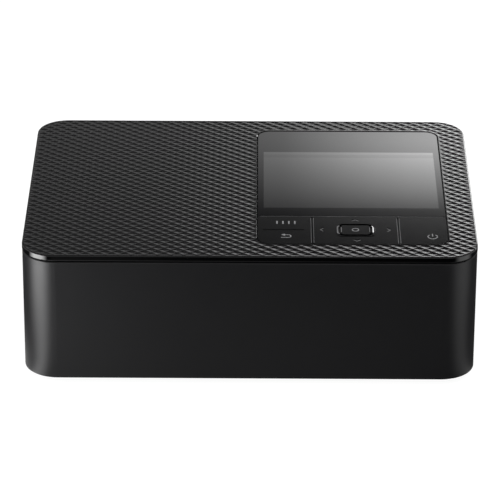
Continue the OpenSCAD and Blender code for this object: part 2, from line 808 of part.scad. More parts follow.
module battery_terminals() {
  y = half_d - barrel_r;
  color("#202224") difference() {
    block([-term_x - 12, y - 7, floor_top + 0.2], [-term_x + 12, y - 3.2, term_z + term_h]);
    for (i = [-2 : 2])
      block([-term_x + i * 4 - 1, y - 5, term_z], [-term_x + i * 4 + 1, y, term_z + term_h - 2]);
  }
  color("gold") for (i = [-2 : 2])
    block([-term_x + i * 4 - 0.5, y - 5, term_z], [-term_x + i * 4 + 0.5, y - 4, term_z + term_h - 2]);
}

// ---------- paper path and chassis ----------

module paper_bay() {
  half = chassis_half - 0.2;
  y0 = chassis_front;
  y1 = feed_at[0] + 6.5;
  color("#232527") {
    block([-half, y0, floor_top + 0.2], [half, y1, bay_z - 0.2]);
    for (s = [-1, 1])
      block([s > 0 ? bay_w / 2 + 0.3 : -half, y0, floor_top + 0.2],
        [s > 0 ? half : -bay_w / 2 - 0.3, feed_at[0] - feed_r - 1, bay_z + bay_h - 1]);
    block([-half, y1 - 1.5, floor_top + 0.2], [half, y1, path_z - 10]);
    // Runners that the paper cassette slides on
    for (s = [-1, 1]) translate([s * (bay_w / 2 - 11.5), 0, 0])
      block([-1, y0, bay_z - 0.3], [1, y1 - 1, bay_z + 0.3]);
  }
}

module paper_guides() {
  half = chassis_half - 0.2;
  color("silver") {
    block([-half, platen_at[0] + platen_r + 1.2, path_z - 1.6],
      [half, grip_at[0] - grip_r - 1, path_z - 0.8]);
    block([-half, grip_at[0] + grip_r + 1, path_z - 1.6], [half, in_d - 1, path_z - 0.8]);
    block([-half, feed_at[0] + feed_r + 1, path_z - 2.6],
      [half, platen_at[0] - platen_r - 1, path_z - 1.8]);
  }
}

// Side outline of the chassis plates, as [y, z] points
CHASSIS = [[chassis_front, chassis_z], [chassis_back, chassis_z], [chassis_back, chassis_top],
  [arm_end_y, chassis_top], [arm_end_y, arm_top], [chassis_front, arm_top]];

module chassis_plate(x0) {
  difference() {
    translate([x0, 0, 0]) rotate([90, 0, 90]) linear_extrude(plate_t) polygon(CHASSIS);
    for (at = [platen_at, grip_at, pinch_at, feed_at])
      rod(at, x0 - 1, x0 + plate_t + 1, shaft_r + bush_t);
    // Lightening holes
    rod([chassis_front + 15.5, path_z - 4], x0 - 1, x0 + plate_t + 1, 8);
    rod([take_up_at[0], path_z - 11], x0 - 1, x0 + plate_t + 1, 3.5);
  }
}

module left_chassis_plate() {
  color("silver") {
    difference() {
      chassis_plate(-chassis_out);
      for (at = [supply_at, take_up_at])
        rod(at, -chassis_out - 1, -chassis_half + 1, hub_r + run_fit);
    }
    // Posts that the idler gears turn on
    for (at = [rear_idler_at, front_idler_at, clutch_idler_at])
      rod(at, gear_x0 - 0.5, -chassis_out + eps, idler_post_r);
  }
}

module right_chassis_plate() {
  color("silver") {
    difference() {
      chassis_plate(chassis_half);
      for (at = [supply_at, take_up_at]) rod(at, chassis_half - 1, chassis_out + 1, tube_r + 0.8);
      block([chassis_half - 1, supply_at[0] - 1, path_z - 0.2],
        [chassis_out + 1, take_up_at[0] + 1, tube_z - tube_r + 2]);
      block([chassis_half - 1, leg_y0 - 3, path_z - 0.2],
        [chassis_out + 1, leg_y0 + leg_t + 0.8, tube_z - 2]);
      block([chassis_half - 1, leg_y1 - leg_t - 0.8, path_z - 0.2],
        [chassis_out + 1, leg_y1 + 3, tube_z - 2]);
    }
    // Post of the cassette lever
    rod(lever_at, chassis_out - eps, tube_x1 + 3.5, lever_post_r);
  }
}

// Angle section that ties the chassis plates together
module chassis_crossbar() {
  z = chassis_top - 4.6;
  color("silver") {
    block([-chassis_half, chassis_back - 6, z - plate_t], [chassis_half, chassis_back - 1, z]);
    block([-chassis_half, chassis_back - 1 - plate_t, z - 12], [chassis_half, chassis_back - 1, z]);
  }
}

module roller_bushes() {
  color("#e8e4d8") for (at = [platen_at, grip_at, pinch_at, feed_at], s = [-1, 1]) difference() {
    union() {
      side_rod(s, at, chassis_half, chassis_out + bush_flange, shaft_r + bush_t);
      if (at != pinch_at)
        side_rod(s, at, chassis_out, chassis_out + bush_flange, shaft_r + bush_t + 0.4);
    }
    side_rod(s, at, 0, half_w, shaft_r + run_fit);
  }
}

module shaft(at, geared) {
  rod(at, geared ? gear_x0 : -chassis_out - bush_flange, chassis_out + bush_flange, shaft_r);
}

module sleeve(at, r) {
  difference() {
    rod(at, -roller_l / 2, roller_l / 2, r);
    rod(at, -roller_l / 2 - 1, roller_l / 2 + 1, shaft_r);
  }
}

module platen_shaft() { color("silver") shaft(platen_at, true); }
module platen_roller() { color("#303030") sleeve(platen_at, platen_r); }
module platen_gear() { color("#e6e2d6") gear(platen_at, platen_teeth, platen_turn, shaft_r); }

module grip_roller() {
  color("silver") {
    shaft(grip_at, true);
    sleeve(grip_at, grip_r);
  }
}
module grip_gear() { color("#e6e2d6") gear(grip_at, grip_teeth, grip_turn, shaft_r); }

module pinch_roller() {
  color("#404040") {
    shaft(pinch_at, false);
    for (i = [-1.5 : 1.5]) rod(pinch_at, i * roller_l / 4 - 8, i * roller_l / 4 + 8, pinch_r);
  }
}

module feed_shaft() { color("silver") shaft(feed_at, true); }
module feed_roller() {
  color("#303030") for (x = [-18, 18]) difference() {
    rod(feed_at, x - 8, x + 8, feed_r);
    rod(feed_at, x - 9, x + 9, shaft_r);
  }
}
module feed_gear() { color("#e6e2d6") gear(feed_at, feed_teeth, feed_turn, shaft_r); }
module rear_idler() {
  color("#e6e2d6") gear(rear_idler_at, rear_idler_teeth, rear_idler_turn, idler_post_r + run_fit);
}
module front_idler() {
  color("#e6e2d6") gear(front_idler_at, front_idler_teeth, front_idler_turn, idler_post_r + run_fit);
}

module clutch_idler() {
  color("#e6e2d6")
    gear(clutch_idler_at, clutch_idler_teeth, clutch_idler_turn, idler_post_r + run_fit);
}
module take_up_gear() {
  color("#e6e2d6") gear(take_up_at, take_up_teeth, take_up_turn, hub_r + run_fit);
}

module motor_pinion() {
  color("goldenrod") {
    gear(pinion_at, pinion_teeth, pinion_turn, 1);
    rod(pinion_at, gear_x0 - 6, gear_x1, 1);
  }
}

motor_x1 = gear_x0 - 3;
module feed_motor() {
  color("#50545a") difference() {
    rod(pinion_at, motor_x1 - motor_l, motor_x1, motor_r);
    rod(pinion_at, motor_x1 - 6, motor_x1 + 1, 1 + run_fit);
  }
}

// Bracket legs, each as [y, z]
LEGS = [[pinion_at[0] - 11, pinion_at[1] + 12], [pinion_at[0] + 15, pinion_at[1] + 7],
  [pinion_at[0] + 2, pinion_at[1] + 15.5]];
module motor_bracket() {
  color("silver") difference() {
    union() {
      for (p = LEGS) {
        rod(p, motor_x1 + fit, -chassis_out, 2);
        // Arms of the bracket's plate
        translate([motor_x1 + fit, pinion_at[0], pinion_at[1]])
          rotate([turn(pinion_at, p), 0, 0])
            translate([0, 0, -3]) cube([1.2, norm(p - pinion_at), 6]);
      }
      rod(pinion_at, motor_x1 + fit, motor_x1 + fit + 1.2, 10);
    }
    rod(pinion_at, motor_x1 - 1, motor_x1 + 3, 3);
  }
}

// ---------- thermal head ----------

head_y0 = platen_y - 8;
head_y1 = platen_y + 3.4;
head_half = chassis_half - 10.5;
head_z = film_z + film_t + 1.8;
sink_z = head_z + 2.2;
sink_top = tube_z + 4;

module head_pivot_shaft() {
  color("silver") rod(head_at, -chassis_half, chassis_half, head_shaft_r);
}

module head_heat_sink() {
  color("#b8bcc0") difference() {
    union() {
      block([-head_half, head_y0, sink_z], [head_half, head_y1, sink_top]);
      for (s = [-1, 1]) let (x = s * (head_half - 9)) {
        rod(head_at, x - 3, x + 3, head_shaft_r + 1.5);
        block([x - 3, head_y1 - eps, head_at[1] - 3], [x + 3, head_at[0], head_at[1] + 3]);
      }
    }
    for (x = [-head_half + 5 : 4 : head_half - 5])
      block([x - 1.2, head_y0 - 1, sink_z + 5], [x + 1.2, head_y1 - 2.5, sink_top + 1]);
    rod(head_at, -chassis_half, chassis_half, head_shaft_r + run_fit);
  }
}

module thermal_head() {
  color("#d9d4c8") block([-head_half, head_y0 + 2, head_z + 0.8], [head_half, head_y1 - 1, sink_z]);
  color("#3b2f2a") block([-head_half, platen_at[0] - 2, head_z],
    [head_half, platen_at[0] - 0.5, head_z + 0.8 + eps]);
}

// ---------- ribbon cassette ----------

module ribbon_cassette() {
  color("#cfd2d6") difference() {
    union() {
      for (at = [supply_at, take_up_at]) rod(at, tube_x0, tube_x1, tube_r);
      // Legs that hold the film down, and end plates that join the tubes
      block([tube_x0, leg_y0, leg_z], [tube_x1, leg_y0 + leg_t, tube_z - 4]);
      block([tube_x0, leg_y1 - leg_t, leg_z], [tube_x1, leg_y1, tube_z - 4]);
      block([tube_x0, leg_y0, leg_z], [tube_x0 + cap_w, leg_y1, head_at[1] - 4]);
      block([tube_x1 - cap_w, supply_at[0], leg_z], [tube_x1, take_up_at[0], tube_z + tube_r - 2]);
    }
    for (at = [supply_at, take_up_at]) {
      rod(at, tube_x0 + cap_w, tube_x1 - cap_w, tube_r - tube_t);
      rod(at, tube_x0 - 1, tube_x1 + 1, journal_r + run_fit);
      // Slot that lets the film out of the tube
      block([tube_x0 + cap_w, at[0] - 1.5, tube_z - tube_r - 1],
        [tube_x1 - cap_w, at[0] + 1.5, tube_z - tube_r + 2 * tube_t]);
    }
    // Clear of the film under the legs' outer sides
    block([tube_x0 + cap_w, leg_y0 + leg_t, 0], [tube_x1 - cap_w, leg_y1 - leg_t, tube_z - tube_r - 6]);
  }
}

module spool(at, film_r) {
  difference() {
    union() {
      rod(at, tube_x0 + cap_w + fit, tube_x1 - cap_w - fit, core_r);
      rod(at, tube_x0, tube_x1, journal_r);
      rod(at, -film_w / 2, film_w / 2, film_r);
    }
    // Slot that the hub's blade turns the spool by
    block([tube_x0 - 1, at[0] - journal_r - 1, at[1] - blade_t / 2 - fit / 2],
      [tube_x0 + blade_l, at[0] + journal_r + 1, at[1] + blade_t / 2 + fit / 2]);
  }
}

// Hub in the left chassis plate that turns a spool, its outer collar from x0 to x1
module spool_hub(at, x0, x1) {
  rod(at, x0, -chassis_half + fit + eps, hub_r);
  rod(at, x0, x1, hub_r + 1.5);
  rod(at, -chassis_half + fit, tube_x0 - fit, hub_r + 1.5);
  block([tube_x0 - fit - eps, at[0] - journal_r + fit, at[1] - blade_t / 2],
    [tube_x0 + blade_l - fit, at[0] + journal_r - fit, at[1] + blade_t / 2]);
}
module supply_hub() {
  color("#e6e2d6") spool_hub(supply_at, -chassis_out - 2, -chassis_out - fit);
}
module take_up_hub() {
  color("#e6e2d6") {
    spool_hub(take_up_at, gear_x0 - 2, gear_x0 - fit);
    // Friction disc beside the take-up gear
    rod(take_up_at, gear_x1 + fit, -chassis_out - fit, hub_r + 2.5);
  }
}
module supply_spool() { color("#3a2d3f") spool(supply_at, full_r); }
module take_up_spool() { color("#3a2d3f") spool(take_up_at, taken_r); }

// Film from slot to slot, under both legs, as [y, z] points of its lower side
module ribbon_film() {
  path = [[supply_at[0], tube_z - tube_r - 0.6], [leg_y0 - 0.4, film_z], [leg_y1 + 0.4, film_z],
    [take_up_at[0], tube_z - tube_r - 0.6]];
  color("#5a3f66") translate([-film_w / 2, 0, 0]) rotate([90, 0, 90]) linear_extrude(film_w)
    polygon(concat(path, [for (i = [3 : -1 : 0]) path[i] + [0, film_t]]));
}

module cassette_lever() {
  x0 = tube_x1 + 0.4;
  top = tube_z - tube_r + 3;
  color("#d0702a") difference() {
    union() {
      rod(lever_at, x0, x0 + 2, 3.5);
      block([x0, lever_at[0] - 1.5, lever_at[1]], [x0 + 2, lever_at[0] + 1.5, top]);
      block([x0, lever_at[0] - 3, top - 2], [x0 + 4, lever_at[0] + 3, top]);
      rod([lever_at[0], top - 1], x0, x0 + 4, 1.6);
    }
    rod(lever_at, x0 - 1, x0 + 3, lever_post_r + run_fit);
  }
}

// ---------- boards and ports ----------

module main_board() {
  half = chassis_out + 1.5;
  y = (chassis_front + arm_end_y) / 2;
  color("#1f5a38") block([-half, chassis_front + 1, board_z],
    [half, arm_end_y - 2, board_z + main_board_t]);
  z = board_z + main_board_t;
  color("#1a1a1a") {
    block([-20, y - 7, z], [-4, y + 9, z + 1.6]);
    block([8, y - 9, z], [18, y + 1, z + 1.2]);
    block([26, y - 5, z], [38, y + 3, z + 1.2]);
  }
  color("#30405a") for (x = [-48, -38]) translate([x, y + 1, z]) cylinder(r = 4, h = 8);
  color("ivory") for (x = [-10, 14, 40])
    block([x, arm_end_y - 7, z], [x + 12, arm_end_y - 3, z + 4]);
}

module port_board() {
  color("#1f5a38") block([chassis_out + 0.2, card_y - card_w / 2 - 0.4, port_board_z],
    [in_w - 2, card_y + card_w / 2 + 0.4, port_board_z + board_t]);
}

// Hollow metal shell, open towards +X
module socket_shell(x0, x1, w, h, z, t) {
  difference() {
    block([x0, card_y - w / 2, z], [x1, card_y + w / 2, z + h]);
    block([x0 + t, card_y - w / 2 + t, z + t], [x1 + 1, card_y + w / 2 - t, z + h - t]);
  }
}

module card_slot() {
  color("silver") socket_shell(chassis_out + 2, in_w - fit, card_w - 0.4, card_h - 0.4,
    port_board_z + board_t + 0.2, 0.4);
}

module host_port() {
  z = port_board_z - host_h - 0.1;
  color("silver") socket_shell(half_w - 15, half_w - 0.4, host_w, host_h, z, 0.4);
  color("ivory") block([half_w - 14.7, card_y - 5.2, z + host_h - 2.4],
    [half_w - 2, card_y + 5.2, z + host_h - 0.9]);
}

module data_port() {
  color("silver") translate([data_x, half_d - 4.2, inlet_z]) rotate([90, 0, 0]) difference() {
    translate([0, 0, -4]) slab(8.9, 3.2, 8, 1.55);
    translate([0, 0, -5]) slab(8.3, 2.6, 7.5, 1.25);
  }
  color("#202020") translate([data_x, half_d - 4.2, inlet_z]) rotate([90, 0, 0])
    translate([-3.2, -0.4, -3.4]) cube([6.4, 0.8, 7]);
  color("#1f5a38") block([data_x - 4, half_d - 16, inlet_z - 2.9],
    [inlet_x + 5, half_d - 4.6, inlet_z - 1.7]);
}

module power_inlet() {
  y1 = half_d - 0.4;
  color("#151515") difference() {
    union() {
      translate([inlet_x, y1, inlet_z]) rotate([90, 0, 0]) cylinder(r = inlet_r + 1.2, h = wall + 2);
      block([inlet_x - 4.6, half_d - 15, inlet_z - 1.6],
        [inlet_x + 4.6, half_d - wall - 0.4, inlet_z + 6]);
    }
    translate([inlet_x, y1 + 1, inlet_z]) rotate([90, 0, 0]) cylinder(r = inlet_r, h = 11);
  }
  color("silver") translate([inlet_x, y1 - 1.5, inlet_z]) rotate([90, 0, 0]) cylinder(r = 0.8, h = 9);
}

top_cover();
panel_frame();
display_glass();
lcd_module();
key_board();
menu_back_key();
nav_key();
ok_key();
power_key();
front_cover();
front_frame();
case_body();
bottom_case();
rubber_feet();
case_screws();
side_door();
terminal_cover();
battery_terminals();
paper_bay();
paper_guides();
left_chassis_plate();
right_chassis_plate();
chassis_crossbar();
roller_bushes();
platen_shaft();
platen_roller();
platen_gear();
grip_roller();
grip_gear();
pinch_roller();
feed_shaft();
feed_roller();
feed_gear();
rear_idler();
front_idler();
motor_pinion();
feed_motor();
motor_bracket();
head_pivot_shaft();
head_heat_sink();
thermal_head();
ribbon_cassette();
supply_spool();
take_up_spool();
supply_hub();
take_up_hub();
take_up_gear();
clutch_idler();
ribbon_film();
cassette_lever();
main_board();
port_board();
card_slot();
host_port();
data_port();
power_inlet();
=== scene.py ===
"""Compact photo printer, dressed for the photograph's view."""
import math

import bmesh
import bpy
import numpy as np
from mathutils import Matrix, Vector


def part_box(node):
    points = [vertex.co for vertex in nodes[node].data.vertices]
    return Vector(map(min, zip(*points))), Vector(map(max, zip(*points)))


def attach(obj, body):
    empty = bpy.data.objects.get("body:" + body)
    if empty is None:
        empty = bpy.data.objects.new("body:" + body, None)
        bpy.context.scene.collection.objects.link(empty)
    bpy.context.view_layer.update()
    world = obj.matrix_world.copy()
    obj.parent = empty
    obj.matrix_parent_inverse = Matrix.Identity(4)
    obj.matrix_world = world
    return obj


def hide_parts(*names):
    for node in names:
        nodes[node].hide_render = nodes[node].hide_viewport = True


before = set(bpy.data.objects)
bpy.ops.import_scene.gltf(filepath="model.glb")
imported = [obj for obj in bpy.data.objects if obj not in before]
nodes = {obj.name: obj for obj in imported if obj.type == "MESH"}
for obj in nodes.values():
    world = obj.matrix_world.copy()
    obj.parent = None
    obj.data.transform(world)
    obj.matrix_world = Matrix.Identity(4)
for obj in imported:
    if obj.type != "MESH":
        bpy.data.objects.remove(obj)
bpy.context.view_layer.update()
scene = bpy.context.scene
scene.view_settings.view_transform = "Standard"
MM = 0.001


# ---------- camera, world and light ----------

def make_camera():
    """Camera fitted to the photograph's edges: place in mm, then yaw, pitch and roll."""
    place = Vector((1.852, -1266.56, 645.6)) * MM
    yaw, pitch, roll = (math.radians(a) for a in (-0.084, 25.995, 0.262))
    ahead = Vector((math.sin(yaw) * math.cos(pitch), math.cos(yaw) * math.cos(pitch),
                    -math.sin(pitch)))
    right = Vector((math.cos(yaw), -math.sin(yaw), 0))
    up = right.cross(ahead)
    r = math.cos(roll) * right + math.sin(roll) * up
    u = -math.sin(roll) * right + math.cos(roll) * up
    data = bpy.data.cameras.new("view")
    data.lens = 243.02
    data.sensor_width = 36
    data.clip_start, data.clip_end = 0.01, 50
    cam = bpy.data.objects.new("view", data)
    scene.collection.objects.link(cam)
    m = Matrix((r, u, -ahead)).transposed().to_4x4()
    m.translation = place
    cam.matrix_world = m
    scene.camera = cam


def seen(tree):
    """1 for camera, glossy and transmission rays, else 0."""
    path = tree.nodes.new("ShaderNodeLightPath")
    a = tree.nodes.new("ShaderNodeMath")
    a.operation = "MAXIMUM"
    b = tree.nodes.new("ShaderNodeMath")
    b.operation = "MAXIMUM"
    tree.links.new(path.outputs["Is Camera Ray"], a.inputs[0])
    tree.links.new(path.outputs["Is Glossy Ray"], a.inputs[1])
    tree.links.new(a.outputs[0], b.inputs[0])
    tree.links.new(path.outputs["Is Transmission Ray"], b.inputs[1])
    return b.outputs[0]


def make_world():
    world = bpy.data.worlds.new("studio")
    scene.world = world
    world.use_nodes = True
    tree = world.node_tree
    back = tree.nodes["Background"]
    back.inputs["Color"].default_value = (1, 1, 1, 1)
    strength = tree.nodes.new("ShaderNodeMapRange")
    strength.inputs["To Min"].default_value = 0.45
    strength.inputs["To Max"].default_value = 1.0
    tree.links.new(seen(tree), strength.inputs["Value"])
    tree.links.new(strength.outputs[0], back.inputs["Strength"])


def make_floor():
    bpy.ops.mesh.primitive_grid_add(x_subdivisions=8, y_subdivisions=8, size=8)
    floor = bpy.context.object
    floor.name = "floor"
    m = bpy.data.materials.new("floor")
    m.use_nodes = True
    tree = m.node_tree
    b = tree.nodes["Principled BSDF"]
    b.inputs["Base Color"].default_value = (0.16, 0.16, 0.16, 1)
    b.inputs["Roughness"].default_value = 0.9
    b.inputs["Specular IOR Level"].default_value = 0.1
    b.inputs["Emission Color"].default_value = (1, 1, 1, 1)
    glow = tree.nodes.new("ShaderNodeMath")
    glow.operation = "MULTIPLY"
    glow.inputs[1].default_value = 0.95
    tree.links.new(seen(tree), glow.inputs[0])
    tree.links.new(glow.outputs[0], b.inputs["Emission Strength"])
    floor.data.materials.append(m)


def lamp(name, at, size, power):
    """Soft rectangular lamp aimed at the object, which reflections don't see."""
    aim = (0, 0, 0.03)
    data = bpy.data.lights.new(name, "AREA")
    data.shape = "RECTANGLE"
    data.size, data.size_y = size
    data.energy = power
    o = bpy.data.objects.new(name, data)
    o.location = at
    o.rotation_euler = (Vector(aim) - Vector(at)).to_track_quat("-Z", "Y").to_euler()
    scene.collection.objects.link(o)
    o.visible_camera = False
    o.visible_glossy = False


def step(v, a, b):
    """Smooth step from 0 at a to 1 at b."""
    t = np.clip((v - a) / (b - a), 0, 1)
    return t * t * (3 - 2 * t)


def card(name, corner, u, v, n, glow, cover):
    """Studio card of n by n faces that only reflections see.

    glow and cover are functions of its points: brightness, and how opaque it is."""
    g = np.linspace(0, 1, n + 1)
    a, b = np.meshgrid(g, g, indexing="ij")
    co = np.array(corner) + a[..., None] * np.array(u) + b[..., None] * np.array(v)
    co = co.reshape(-1, 3)
    i = np.arange(n)[:, None] * (n + 1) + np.arange(n)[None, :]
    faces = np.stack([i, i + n + 1, i + n + 2, i + 1], -1).reshape(-1, 4)
    mesh = bpy.data.meshes.new(name)
    mesh.from_pydata(co.tolist(), [], faces.tolist())
    for key, f in (("glow", glow), ("cover", cover)):
        mesh.attributes.new(key, "FLOAT", "POINT").data.foreach_set(
            "value", np.asarray(f(co[:, 0], co[:, 1], co[:, 2]) + 0 * co[:, 0], np.float32))
    m = bpy.data.materials.new(name)
    m.use_nodes = True
    tree = m.node_tree
    tree.nodes.clear()
    out = tree.nodes.new("ShaderNodeOutputMaterial")
    mix = tree.nodes.new("ShaderNodeMixShader")
    clear = tree.nodes.new("ShaderNodeBsdfTransparent")
    light = tree.nodes.new("ShaderNodeEmission")
    for key, socket in (("glow", light.inputs["Strength"]), ("cover", mix.inputs[0])):
        attr = tree.nodes.new("ShaderNodeAttribute")
        attr.attribute_name = key
        tree.links.new(attr.outputs["Fac"], socket)
    tree.links.new(clear.outputs[0], mix.inputs[1])
    tree.links.new(light.outputs[0], mix.inputs[2])
    tree.links.new(mix.outputs[0], out.inputs["Surface"])
    mesh.materials.append(m)
    o = bpy.data.objects.new(name, mesh)
    scene.collection.objects.link(o)
    o.visible_camera = o.visible_diffuse = o.visible_transmission = False
    o.visible_volume_scatter = o.visible_shadow = False


def make_studio():
    lamp("top", (0.0, -0.1, 1.5), (1.4, 1.2), 12)
    lamp("left", (-1.3, -0.5, 0.7), (0.7, 0.9), 7)
    lamp("right_back", (0.9, 1.0, 0.7), (0.7, 0.7), 5)
    # Behind: dim at the left and above, a soft bright panel low at the right
    card("card_back", (-1.3, 0.7, 0.0), (2.6, 0, 0), (0, 0, 1.3), 130, behind,
         lambda x, y, z: step(z, 1.3, 0.9) * step(x, -1.3, -0.9) * step(x, 1.3, 0.9))
    # A dim ceiling, so that the rounded front edges stay dark
    card("card_top", (-1.6, -1.7, 1.32), (3.2, 0, 0), (0, 2.3, 0), 24,
         lambda x, y, z: np.interp(x, [-0.8, 0.0, 0.8], [0.3, 0.12, 0.05]),
         lambda x, y, z: 1)
    # The dark table round the object, with a bright sheet at each front corner
    card("card_table", (-0.5, -0.55, 0.002), (1.0, 0, 0), (0, 1.0, 0), 200, table,
         lambda x, y, z: step(np.hypot(x, y + 0.05), 0.48, 0.36))


def behind(x, y, z):
    """Glow of the card behind the object, in three heights with soft changes between them."""
    # High, for the glass, the keys and the flat tops of the lid's ridges
    left = np.interp(x, [-0.4, -0.2, -0.1, -0.04, 0.0, 0.02], [1.25, 1.23, 1.14, 0.5, 1.0, 1.22])
    right = 0.5 + 4.2 * step(x, -0.03, 0.16) * (1 - 0.5 * step(x, 0.14, 0.25))
    high = np.where(x < 0.02, left, right) * (1 - 0.93 * step(x, 0.32, 0.45))
    # Middle, for the pits' walls that face back and right
    middle = np.interp(x, [-0.3, -0.2, -0.13, -0.07, -0.02, 0.03, 0.08, 0.13, 0.18, 0.25, 0.6],
                       [0.25, 0.22, 0.14, 0.45, 0.55, 1.5, 1.6, 2.0, 2.6, 6.5, 1.0])
    # Low, for the steep rims of the panel and the keys
    low = np.interp(x, [-0.35, -0.2, -0.12, -0.06, 0.0, 0.05, 0.1, 0.15, 0.22, 0.32, 0.6],
                    [0.27, 0.27, 0.31, 0.21, 0.14, 0.02, 0.03, 8.0, 10.0, 9.0, 1.0])
    low = low * (1 - step(x, 0.2, 0.25) * step(z, 0.13, 0.07))
    low = low + (middle - low) * step(z, 0.15, 0.22)
    mix = step(z, 0.32, 0.345)
    # It fades upwards, which gives the glass its slope from light to dark
    down = np.interp(z, [0.0, 0.34, 0.354, 0.367, 0.383, 0.395, 0.402, 0.415, 0.43, 0.6],
                     [1.0, 1.0, 0.92, 0.62, 0.37, 0.18, 0.08, 0.01, 0.006, 0.006])
    # A round lamp for the guard right of the confirm key
    spot_x, spot_z, spot_r = 0.27, 0.335, 0.037
    spot = 11 * step(np.hypot((x - spot_x) / spot_r, (z - spot_z) / spot_r), 1.5, 0.9)
    # A faint glow above, for the pits' walls that face the camera
    above = step(z, 0.415, 0.47) * np.interp(x, [-0.3, -0.1, 0.05, 0.2], [0.048, 0.18, 0.011, 0.0])
    return (low * (1 - mix) + high * mix) * down + spot + above


def table(x, y, z):
    """Glow of the table card: in front of the cover, and a wedge out from each front corner."""
    around = 0.05
    front = np.interp(x, [-0.09, -0.05, -0.02, 0.01, 0.06, 0.09], [0.75, 0.5, 0.38, 0.3, 0.2, 0.1])
    glow = around + (front - around) * step(y, 0.0, -0.06) * step(np.abs(x), 0.14, 0.09)
    glow = glow * (0.05 + 0.95 * step(y, -0.165, -0.14))
    glow = glow + 0.1 * step(x, -0.02, -0.08) * (np.abs(x) < 0.1)
    # Middle of the corner's rounding, and per side: brightness near and far, turn in degrees,
    # and the angle at which the wedge ends at four distances
    corner_x, corner_y = 0.077, 0.0524
    for side, near, far, shift, ends in ((-1, 5.0, 14.0, 0, [62, 71, 90, 94]),
                                         (1, 0.85, 1.8, 8, [76, 81, 90, 94])):
        dx, dy = side * (x - side * corner_x), -(y + corner_y)
        turn = np.degrees(np.arctan2(dx, dy)) - shift
        out = np.hypot(dx, dy)
        end = np.interp(out, [0.0, 0.028, 0.078, 0.1], ends)
        wedge = step(turn, 20, 44) * step(turn, end, end - 30) * (dx > 0)
        bright = np.interp(out, [0.0, 0.05, 0.1, 0.12], [0.8 * near, near, 1.5 * near, far])
        glow = glow + wedge * bright
    return glow


# ---------- materials ----------

def varied(name, color, rough, metal=0.0, spec=0.5, shade=0.12, patch=60.0, rough_by=0.05,
           grain=5000.0, depth=0.004, coat=0.0, stretch=(1, 1, 1)):
    """Material whose colour and roughness drift in patches, with a fine grain in relief (mm)."""
    m = bpy.data.materials.new(name)
    m.use_nodes = True
    tree = m.node_tree
    b = tree.nodes["Principled BSDF"]
    b.inputs["Metallic"].default_value = metal
    b.inputs["Specular IOR Level"].default_value = spec
    b.inputs["Coat Weight"].default_value = coat
    b.inputs["Coat Roughness"].default_value = 0.04
    at = tree.nodes.new("ShaderNodeTexCoord")
    size = tree.nodes.new("ShaderNodeMapping")
    size.inputs["Scale"].default_value = stretch
    tree.links.new(at.outputs["Object"], size.inputs["Vector"])

    def noise(scale, detail):
        n = tree.nodes.new("ShaderNodeTexNoise")
        n.inputs["Scale"].default_value = scale
        n.inputs["Detail"].default_value = detail
        tree.links.new(size.outputs[0], n.inputs["Vector"])
        return n.outputs["Fac"]
    wide = noise(patch, 3)
    ramp = tree.nodes.new("ShaderNodeMix")
    ramp.data_type = "RGBA"
    ramp.inputs["A"].default_value = (*[c * (1 - shade) for c in color], 1)
    ramp.inputs["B"].default_value = (*[min(1, c * (1 + shade)) for c in color], 1)
    tree.links.new(wide, ramp.inputs["Factor"])
    tree.links.new(ramp.outputs["Result"], b.inputs["Base Color"])
    r = tree.nodes.new("ShaderNodeMapRange")
    r.inputs["To Min"].default_value = max(0.02, rough - rough_by)
    r.inputs["To Max"].default_value = min(1, rough + rough_by)
    tree.links.new(noise(patch * 4.3, 2), r.inputs["Value"])
    tree.links.new(r.outputs[0], b.inputs["Roughness"])
    bump = tree.nodes.new("ShaderNodeBump")
    bump.inputs["Strength"].default_value = 1.0
    bump.inputs["Distance"].default_value = depth * MM
    tree.links.new(noise(grain, 2), bump.inputs["Height"])
    tree.links.new(bump.outputs[0], b.inputs["Normal"])
    return m


def paint(names, mat):
    for n in names:
        o = nodes[n]
        o.data.materials.clear()
        o.data.materials.append(mat)


def math_node(tree, op, a, b=None):
    n = tree.nodes.new("ShaderNodeMath")
    n.operation = op
    for i, v in enumerate((a, b)):
        if v is None:
            continue
        if isinstance(v, (int, float)):
            n.inputs[i].default_value = v
        else:
            tree.links.new(v, n.inputs[i])
    return n.outputs[0]


def within(tree, v, lo, hi, soft):
    """1 where v lies between lo and hi, with soft ends (metres)."""
    a = tree.nodes.new("ShaderNodeMapRange")
    b = tree.nodes.new("ShaderNodeMapRange")
    for n, p, q in ((a, lo - soft, lo + soft), (b, hi + soft, hi - soft)):
        n.inputs["From Min"].default_value, n.inputs["From Max"].default_value = p, q
        tree.links.new(v, n.inputs["Value"])
    return math_node(tree, "MULTIPLY", a.outputs[0], b.outputs[0])


